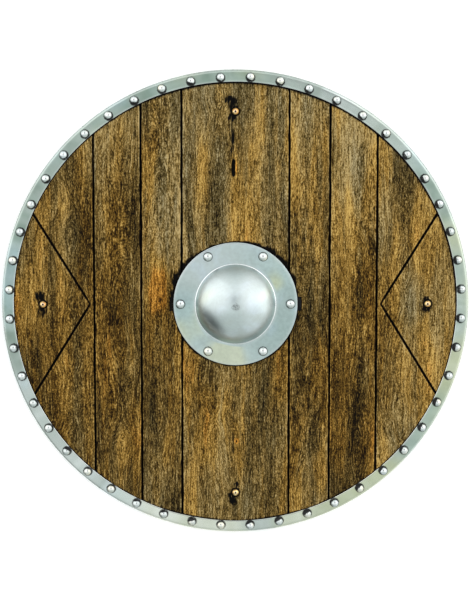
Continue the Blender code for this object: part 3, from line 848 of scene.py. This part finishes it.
def makeRim(material):
    # The folded sheet's section carried round the boards: lip, corner, wall, corner, lip and back inside
    settings = rimSettings
    inside, outside, height = settings["inside"], settings["outside"], settings["height"]
    sheet, corner, edge = settings["sheet"], settings["corner"], settings["edgeRound"]
    bend, tight = outside - corner, corner - sheet
    lip = np.linspace(inside + edge, bend, 6)[1:-1]
    section = np.concatenate([
        arcPoints((inside + edge, height - edge), edge, 180, 90, 3),
        stacked(lip, height),
        arcPoints((bend, height - corner), corner, 90, 0, 8),
        arcPoints((bend, corner), corner, 0, -90, 8),
        stacked(lip[::-1], 0.0),
        arcPoints((inside + edge, edge), edge, 270, 180, 3),
        arcPoints((inside + edge, sheet - edge), edge, 180, 90, 3),
        arcPoints((bend, corner), tight, -90, 0, 4),
        arcPoints((bend, height - corner), tight, 0, 90, 4),
        arcPoints((inside + edge, height - sheet + edge), edge, 270, 180, 3),
    ])
    wearAndSheen = np.zeros(len(section))
    # painted highlights, partly wear: a bright line on the lip's inner edge and a band along the outer corner
    wearAndSheen[:4] = (0.9, 1.0, 0.8, 0.3)
    wearAndSheen[8:17] = np.interp(np.arange(9), [0, 3, 6, 8], [0, 0.35, 0.2, 0])
    turns = settings["turns"]
    angle = (np.arange(turns) / turns * tau)[:, None]
    degrees = np.degrees(angle)
    radius = np.repeat(section[None, :, 0], turns, axis=0)
    level = np.repeat(section[None, :, 1], turns, axis=0)
    nearLip = np.clip(1 - (radius - inside) / 9, 0, 1)
    radius = radius + settings["waver"] * nearLip * softNoise(degrees / 9, 0, 401)
    sag = settings["dents"] * halfNoise(degrees / 6, radius / 9, 402)
    level = level - sag * np.where(level > 12, 1, 0) * np.where(radius < bend + 1, 1, 0.3)
    pushed = settings["wallDents"] * halfNoise(degrees / 5, level / 8, 403)
    radius = radius - pushed * np.where(radius > bend, 1, 0)
    points = stacked(radius * np.cos(angle), radius * np.sin(angle), level)
    faces = gridFaces(turns, len(section), closedRows=True, closedColumns=True)
    # dark faces inside the fold, from the section's 34th point on, and a painted shade line along the outer
    # corner
    number = np.arange(len(section))
    hidden = (number > 33) * 1.0
    outerLine = np.interp(number, [12, 13, 15, 16, 17], [0, 0.40, 0.48, 0.14, 0.04])
    shine = roundTheClock(degrees, settings["shine"]) * (1 + 0.3 * softNoise(degrees / 7, 0, 404))
    shine = shine + 0.12 * softNoise(degrees / 1.6, radius / 40, 405)
    fields = {
        "tint": np.repeat(roundTheClock(degrees, settings["tint"]), len(section), axis=1),
        "wearAndSheen": np.maximum(np.clip(shine, 0, 1) * (level > 7), np.repeat(wearAndSheen[None], turns, axis=0)),
        "grimeAndShade": np.tile(np.maximum(0.9 * hidden, outerLine), turns),
    }
    return meshPiece("foldedRim", points, [faces], material, ["rim"], fields)


makeRim(rimSteel)


# Rivets and nails

rivetSettings = {
    "rim": {
        "head": 5.5, "rise": 3.4, "shank": 2.0, "circle": 296.5, "count": 48, "first": 3.75,
        "seat": 14.75,
        # the dark crescent on each head, painted reflection of the wood and painted shade with some dirt:
        # where it starts and is full, how dark, and its upper end
        "crescent": (0.34, 0.85, 1.35, 0.93),
        # how uneven the 48 are: off the circle, size, lean
        "off": 0.35, "smallest": 0.96, "lean": 0.05,
    },
    "boss": {"head": 6.2, "rise": 4.0, "shank": 2.5, "circle": 72.0, "count": 6, "first": 0.0, "seat": 15.3},
    "nail": {
        "head": 4.6, "rise": 3.2, "shank": 1.5, "circle": boardSettings["nailCircle"], "count": 4,
        "first": 0.0, "seat": 13.5, "dimple": 1.15,
    },
    "tailSpread": 1.5, "tailRise": 0.9,
}


def headSection(settings, top, tailLow, tailHigh, arcs):
    # A domed head with a small rounded brim, its shank, and a flattened tail: radius and height pairs.
    # The dome is a quarter ellipse that stands on a brim about a tenth of the rise high
    head, rise, shank = settings["head"], settings["rise"], settings["shank"]
    brim = 0.12 * rise
    dome = arcPoints((0, top - rise + brim), (head, rise - brim), 90, 0, arcs)
    dome[0, 0] = 0
    tail = shank + rivetSettings["tailSpread"]
    parts = [dome, [(head - 0.15, top - rise)], [(shank, top - rise)]]
    if tailLow is not None:
        flat = [(tail, tailHigh - 0.15), (tail * 0.8, tailLow + 0.15)]
        parts += [[(shank, tailHigh)], flat, [(0, tailLow)]]
    else:
        parts += [[(0, top - rise)]]
    return np.concatenate([np.asarray(part, float) for part in parts])


def headFields(section, top, rise):
    # Grime and painted shade round the foot of the dome, and wear with a painted highlight on its crown
    share = (section[:, 1] - (top - rise)) / rise
    return np.interp(share, [-9, 0.12, 0.58, 0.86], [0.95, 0.85, 0.50, 0]), step(share, 0.8, 1.0) * 0.7


def makeFastener(name, key, index, material, nodeName, turns=28):
    # One rivet of the boss or one nail, turned to its place on the circle, with a flat tail behind
    settings, back = rivetSettings[key], boardSettings["back"]
    turn = math.radians(settings["first"] + index * 360 / settings["count"])
    spot = (settings["circle"] * math.cos(turn), settings["circle"] * math.sin(turn))
    top = settings["seat"] + settings["rise"]
    section = headSection(settings, top, back - rivetSettings["tailRise"], back + 0.1, 8)
    dimple = settings.get("dimple", 0)
    if dimple:  # a small hollow in the crown, painted dark as a reflection of the camera
        hollow = [(0, top - 0.45), (dimple * 0.75, top - 0.38), (dimple, top - 0.06)]
        kept = (section[:, 0] > dimple * 1.05) | (np.arange(len(section)) > 8)
        section = np.concatenate([hollow, section[kept]])
    grimeAndShade, wearAndSheen = headFields(section, top, settings["rise"])
    if dimple:
        grimeAndShade[:3], wearAndSheen[:3] = (1.2, 1.2, 0.5), 0
    fields = {"grimeAndShade": spread(grimeAndShade, turns), "wearAndSheen": spread(wearAndSheen, turns)}
    points, faceSets = turnedPoints(section, turns, spot), turnedFaces(turns, len(section))
    return meshPiece(name, points, faceSets, material, [nodeName], fields, 40)


def makeRimRivets(material):
    # The same head 48 times in one piece, each turned to its place on the circle and slightly uneven
    settings = rivetSettings["rim"]
    turns, count = 20, settings["count"]
    top = settings["seat"] + settings["rise"]
    section = headSection(settings, top, None, None, 6)
    master = turnedPoints(section, turns)
    angle = np.radians(settings["first"] + np.arange(count) * 360 / count)
    chance = np.random.default_rng(77)
    reach = settings["circle"] + chance.uniform(-settings["off"], settings["off"], count)
    size = chance.uniform(settings["smallest"], 1.0, count)
    lean = chance.uniform(-settings["lean"], settings["lean"], (count, 2))
    x = master[None, :, 0] * size[:, None]
    y = master[None, :, 1] * size[:, None]
    tilt = (x * lean[:, :1] + y * lean[:, 1:]) * (master[None, :, 2] > settings["seat"] + 0.1)
    z = np.minimum(master[None, :, 2] + tilt, top)
    x, y = x + (reach * np.cos(angle))[:, None], y + (reach * np.sin(angle))[:, None]
    faceSets = []
    for faces in turnedFaces(turns, len(section)):
        offset = (np.arange(count) * len(master))[:, None, None]
        faceSets.append((faces[None] + offset).reshape(-1, faces.shape[1]))
    grimeAndShade, wearAndSheen = headFields(section, top, settings["rise"])
    # the crescent, painted reflection and shade, faces the middle of the shield and a little to the left
    low, high, dark, end = settings["crescent"]
    share = (master[None, :, 2] - settings["seat"]) / settings["rise"]
    sideways = master[None, :, :2] / settings["head"]
    inward = -(sideways[..., 0] * np.cos(angle)[:, None] + sideways[..., 1] * np.sin(angle)[:, None])
    leaning = inward - 0.45 * sideways[..., 0] + 0.3 * chance.uniform(-1, 1, count)[:, None]
    crescent = dark * step(leaning, low, high) * (0.75 + 0.25 * chance.uniform(-1, 1, count)[:, None])
    fields = {
        "grimeAndShade": np.maximum(np.tile(spread(grimeAndShade, turns), (count, 1)), crescent * (share < end)),
        "wearAndSheen": np.tile(spread(wearAndSheen, turns), count),
    }
    points = stacked(x, y, z)
    return meshPiece("rimRivets", points, faceSets, material, ["rim"], fields, 40)


makeRimRivets(rivetSteel)
for index in range(rivetSettings["boss"]["count"]):
    names = "bossRivet%d" % (index + 1), "boss_rivet_%d" % (index + 1)
    makeFastener(names[0], "boss", index, rivetSteel, names[1])
for index, side in enumerate(("right", "top", "left", "bottom")):
    makeFastener("nail" + side.capitalize(), "nail", index, nailBrass, "nail_" + side)
print("stage: rim, rivets and nails")


# Boss and grip bar

bossSettings = {
    "outside": 81.0, "flangeBack": 13.8, "flangeFront": 15.3, "sheet": 1.5, "bowl": 52.5, "bowlTop": 43.3,
    "fillet": 1.5, "edgeRound": 0.45, "turns": 144, "dents": 0.16, "wave": 0.12,
    "bowlWear": 0.42,  # the bowl is smoother and brighter than the flange
    "bowlTint": 0.6,
    "topMark": (0.48, 8.0),  # the dark spot at the top of the bowl: how dark, and its radius
    # how much lighter the flange is at every 30 degrees, from the right by the top, and how cool it is
    "shine": (0.12, 0.04, 0.14, 0.28, 0.38, 0.32, 0.00, 0.10, 0.20, 0.24, 0.12, 0.06),
    "tint": (0.6, -0.5, -1.3, 0.2, 0.5, 0.6, 0.8, 0.2, -0.6, -1.7, -0.5, 0.6),
}


def makeBoss(material):
    # Bowl outside as a cap of a ball, fillet, flange with a rounded edge, and the same again inside. The
    # fillet's centre is ball + fillet away from the ball's centre, and as far to the side as that leaves
    settings = bossSettings
    front, back, edge = settings["flangeFront"], settings["flangeBack"], settings["edgeRound"]
    bowl, fillet, sheet = settings["bowl"], settings["fillet"], settings["sheet"]
    rise = settings["bowlTop"] - front
    ball = (bowl**2 + rise**2) / (2 * rise)
    centre = settings["bowlTop"] - ball
    foot = front + fillet
    reach = math.sqrt((ball + fillet) ** 2 - (foot - centre) ** 2)
    lean = math.degrees(math.atan2(foot - centre, reach))
    flange = np.linspace(reach, settings["outside"] - edge, 8)[1:-1]
    flangeIn = np.linspace(reach, settings["outside"] - edge, 5)[1:-1][::-1]
    section = np.concatenate([
        arcPoints((0, centre), ball, 90, lean, 28),
        arcPoints((reach, foot), fillet, 180 + lean, 270, 6)[1:],
        stacked(flange, front),
        arcPoints((settings["outside"] - edge, front - edge), edge, 90, 0, 3),
        arcPoints((settings["outside"] - edge, back + edge), edge, 0, -90, 3),
        stacked(flangeIn, back),
        arcPoints((reach, foot), fillet + sheet, 270, 180 + lean, 5),
        arcPoints((0, centre), ball - sheet, lean, 90, 18)[1:],
    ])
    section[0, 0] = section[-1, 0] = 0
    wearAndSheen = np.zeros(len(section))
    wearAndSheen[:29] = settings["bowlWear"]
    # painted highlights, partly wear: round the fillet at the bowl's foot and on the flange's rounded edge
    wearAndSheen[28:35] = (0.5, 0.7, 0.9, 1.0, 1.0, 0.8, 0.3)
    wearAndSheen[41:46] = (0.2, 0.4, 0.4, 0.3, 0.1)
    grimeAndShade = np.zeros(len(section))
    dark, wide = settings["topMark"]
    grimeAndShade[:28] = dark * np.exp(-((section[:28, 0] / wide) ** 2))
    grimeAndShade[46:] = 0.3

    def uneven(angle, radius, height):
        # The flange waves a little and the bowl has faint flats, always inwards of the true shape
        degrees = np.degrees(angle)
        wave = halfNoise(degrees / 24, radius / 16, 501)
        onFlange = (radius > reach + 0.2) & (height > back + 0.3)
        height = height - np.where(onFlange, settings["wave"] * wave, 0)
        flats = settings["dents"] * halfNoise(degrees / 18, height / 9, 502)
        pull = np.where(height > foot + 1, flats / ball, 0)
        return radius * (1 - pull), height

    turns = settings["turns"]
    points = turnedPoints(section, turns, wobble=uneven)
    degrees = (np.arange(turns) * 360 / turns)[:, None]
    onFlange = (section[1:-1, 0] > reach + 1) & (section[1:-1, 1] > front - 0.01)
    rubbed = np.tile(wearAndSheen[1:-1], (turns, 1)) + roundTheClock(degrees, settings["shine"]) * onFlange
    tinted = np.where(onFlange, roundTheClock(degrees, settings["tint"]), settings["bowlTint"])
    fields = {
        "wearAndSheen": np.append(rubbed.ravel(), [wearAndSheen[0], wearAndSheen[-1]]),
        "tint": np.append(tinted.ravel(), [0, 0]),
        "grimeAndShade": spread(grimeAndShade, turns),
    }
    faces = turnedFaces(turns, len(section))
    return meshPiece("domedBoss", points, faces, material, ["boss"], fields)


gripSettings = {
    "halfLength": 86.2, "halfWidth": 9.0, "back": 7.2, "front": 13.2, "squareEnds": 46.2,
    "edge": 1.6, "corner": 0.35, "endEdge": 0.3, "hammered": 0.25, "wearAndSheen": 0.18,
}


def makeGrip(material):
    # A rectangle with rounded corners carried along x: the corner radius grows over the grasp
    settings = gripSettings
    end, cut = settings["halfLength"], settings["endEdge"]
    places = np.concatenate([
        [-end, -end + cut], np.linspace(-84, -48, 14), np.linspace(-46, 46, 60), np.linspace(48, 84, 14),
        [end - cut, end],
    ])
    grasp = step(settings["squareEnds"] - np.abs(places), -2, 4)
    corner = settings["corner"] + (settings["edge"] - settings["corner"]) * grasp
    middle = (settings["front"] + settings["back"]) / 2
    halfHigh = (settings["front"] - settings["back"]) / 2
    turn = np.radians(np.concatenate([np.linspace(start, start + 90, 5) for start in (0, 90, 180, 270)]))
    signY, signZ = np.sign(np.cos(turn + 1e-6)), np.sign(np.sin(turn + 1e-6))
    signY[[4, 5, 14, 15]], signZ[[9, 10, 19, 0]] = (1, -1, -1, 1), (1, -1, -1, 1)
    y = signY[None] * (settings["halfWidth"] - corner[:, None]) + corner[:, None] * np.cos(turn)[None]
    z = middle + signZ[None] * (halfHigh - corner[:, None]) + corner[:, None] * np.sin(turn)[None]
    shrink = np.where(np.abs(places) > end - 0.1, cut, 0)[:, None]
    y, z = y - np.sign(y) * shrink, z - np.sign(z - middle) * shrink
    hammer = settings["hammered"] * halfNoise(places[:, None] / 9, turn[None] * 1.4, 601)
    y, z = y - np.sign(y) * hammer, z - np.sign(z - middle) * hammer * 0.6
    points = stacked(places[:, None], y, z)
    rows, around = points.shape[:2]
    faces = gridFaces(rows, around, closedColumns=True)
    startCap = np.arange(around)[None, ::-1]
    endCap = (rows - 1) * around + np.arange(around)[None]
    wearAndSheen = np.repeat((settings["wearAndSheen"] * grasp)[:, None], around, axis=1)
    fields = {"wearAndSheen": wearAndSheen, "grimeAndShade": np.zeros_like(wearAndSheen)}
    faceSets = [faces, startCap, endCap]
    return meshPiece("gripBar", points, faceSets, material, ["grip"], fields, 50)


makeBoss(bossSteel)
makeGrip(blackIron)
print("stage: boss and grip bar")


# Floor, light and camera

studio = {
    "floor": (250, 250, 250),
    "floorGlow": 0.24,
    "floorHalf": 4.0,  # in metres, as the drop below the shield's back
    "floorDrop": 0.0006,
    "skyTop": (1.10, 1.16, 1.16),
    "skyLow": (0.70, 0.75, 0.74),
    "skyBright": (0.0, 0.62, 0.78),
    # soft areas laid over that in turn: direction, cosines where each starts and is full, share, colour
    "skyAreas": [
        ((-0.70, 0.32, 0.64), 0.60, 0.95, 1.0, (1.44, 1.43, 1.44)),
        ((0.74, 0.30, 0.60), 0.58, 0.94, 1.0, (1.54, 1.51, 1.52)),
        ((0.80, -0.45, 0.35), 0.65, 0.97, 0.75, (1.08, 1.12, 1.10)),
        ((-1.00, 0.12, 0.06), 0.78, 0.97, 0.8, (1.60, 1.62, 1.60)),
        ((1.00, 0.10, 0.06), 0.78, 0.97, 0.8, (1.90, 1.92, 1.90)),
        ((0.0, 1.0, -0.05), 0.85, 0.99, 0.9, (0.42, 0.48, 0.46)),
        ((-0.76, -0.65, -0.05), 0.76, 0.96, 1.0, (0.03, 0.04, 0.04)),
        ((-0.012, 0.135, 0.991), 0.972, 0.992, 0.75, (0.10, 0.12, 0.11)),
    ],
    "lights": [  # direction from the shield, distance, width, height, watts
        ((-0.63, 0.38, 0.68), 1.8, 1.7, 1.5, 1.6),
        ((0.68, 0.34, 0.64), 1.8, 1.7, 1.5, 1.6),
    ],
    "cameraFrom": (-0.012, 0.135, 0.991),
    "cameraTarget": (0.0, 5.2, 13.5),
    "cameraDistance": 2920.0,
    "lens": 134.0,
}


def makeFloor():
    # One square, a little below the back of the rim
    mesh = bpy.data.meshes.new("floor")
    half, corners = studio["floorHalf"], ((-1, -1), (1, -1), (1, 1), (-1, 1))
    mesh.from_pydata([(x * half, y * half, -studio["floorDrop"]) for x, y in corners], [], [(0, 1, 2, 3)])
    floor = newObject("floor", mesh)
    material, tree, shader = newMaterial("paleFloor")
    feed(tree, shader, {
        "Base Color": paint(*studio["floor"]), "Roughness": 0.9, "Specular IOR Level": 0.1,
        "Emission Color": paint(*studio["floor"]), "Emission Strength": studio["floorGlow"],
    })
    mesh.materials.append(material)


def makeSky():
    # Bright high behind the head of the shield and at both sides, falling off to its foot; dark low down on
    # one side, along the horizon behind the head, and in a small spot where the camera stands. Each share
    # depends on the angle to one direction
    world = bpy.data.worlds.new("studioSky")
    bpy.context.scene.world = world
    world.use_nodes = True
    tree = world.node_tree
    direction = node(tree, "TexCoord").outputs["Generated"]

    def towards(aim, low, high):
        # 0 to 1 by the cosine of the angle between the view's direction and the aim
        values = {0: direction, 1: Vector(aim).normalized()}
        turned = node(tree, "VectorMath", values, operation="DOT_PRODUCT").outputs["Value"]
        return remap(tree, turned, low, high)

    bright = towards(studio["skyBright"], 0.25, 0.95)
    colour = blended(tree, bright, (*studio["skyLow"], 1), (*studio["skyTop"], 1))
    for aim, low, high, share, tint in studio["skyAreas"]:
        colour = blended(tree, times(tree, towards(aim, low, high), share), colour, (*tint, 1))
    feed(tree, tree.nodes["Background"].inputs, {"Color": colour, "Strength": 1.0})


def makeLights():
    # Rectangles that face the shield, each at its distance along its direction
    for number, (direction, distance, width, height, watts) in enumerate(studio["lights"], 1):
        light = bpy.data.lights.new("softbox%d" % number, "AREA")
        light.shape, light.size, light.size_y, light.energy = "RECTANGLE", width, height, watts
        lamp = newObject("softbox%d" % number, light)
        away = Vector(direction).normalized()
        lamp.location = away * distance
        lamp.rotation_mode = "QUATERNION"
        lamp.rotation_quaternion = (-away).to_track_quat("-Z", "Y")


def makeCamera():
    # The camera looks along the given direction at its target, with the shield's head up
    camera = bpy.data.cameras.new("camera")
    camera.lens, camera.sensor_width = studio["lens"], 36.0
    camera.clip_start, camera.clip_end = 0.1, 50
    viewer = newObject("camera", camera)
    back = Vector(studio["cameraFrom"]).normalized()
    right = Vector((0, 1, 0)).cross(back).normalized()
    up = back.cross(right)
    turn = Matrix((right, up, back)).transposed()
    place = Vector(studio["cameraTarget"]) * mm + back * studio["cameraDistance"] * mm
    viewer.matrix_world = Matrix.Translation(place) @ turn.to_4x4()
    bpy.context.scene.camera = viewer


makeFloor()
makeSky()
makeLights()
makeCamera()
bpy.context.scene.view_settings.view_transform = "Standard"
print("stage: floor, light and camera")
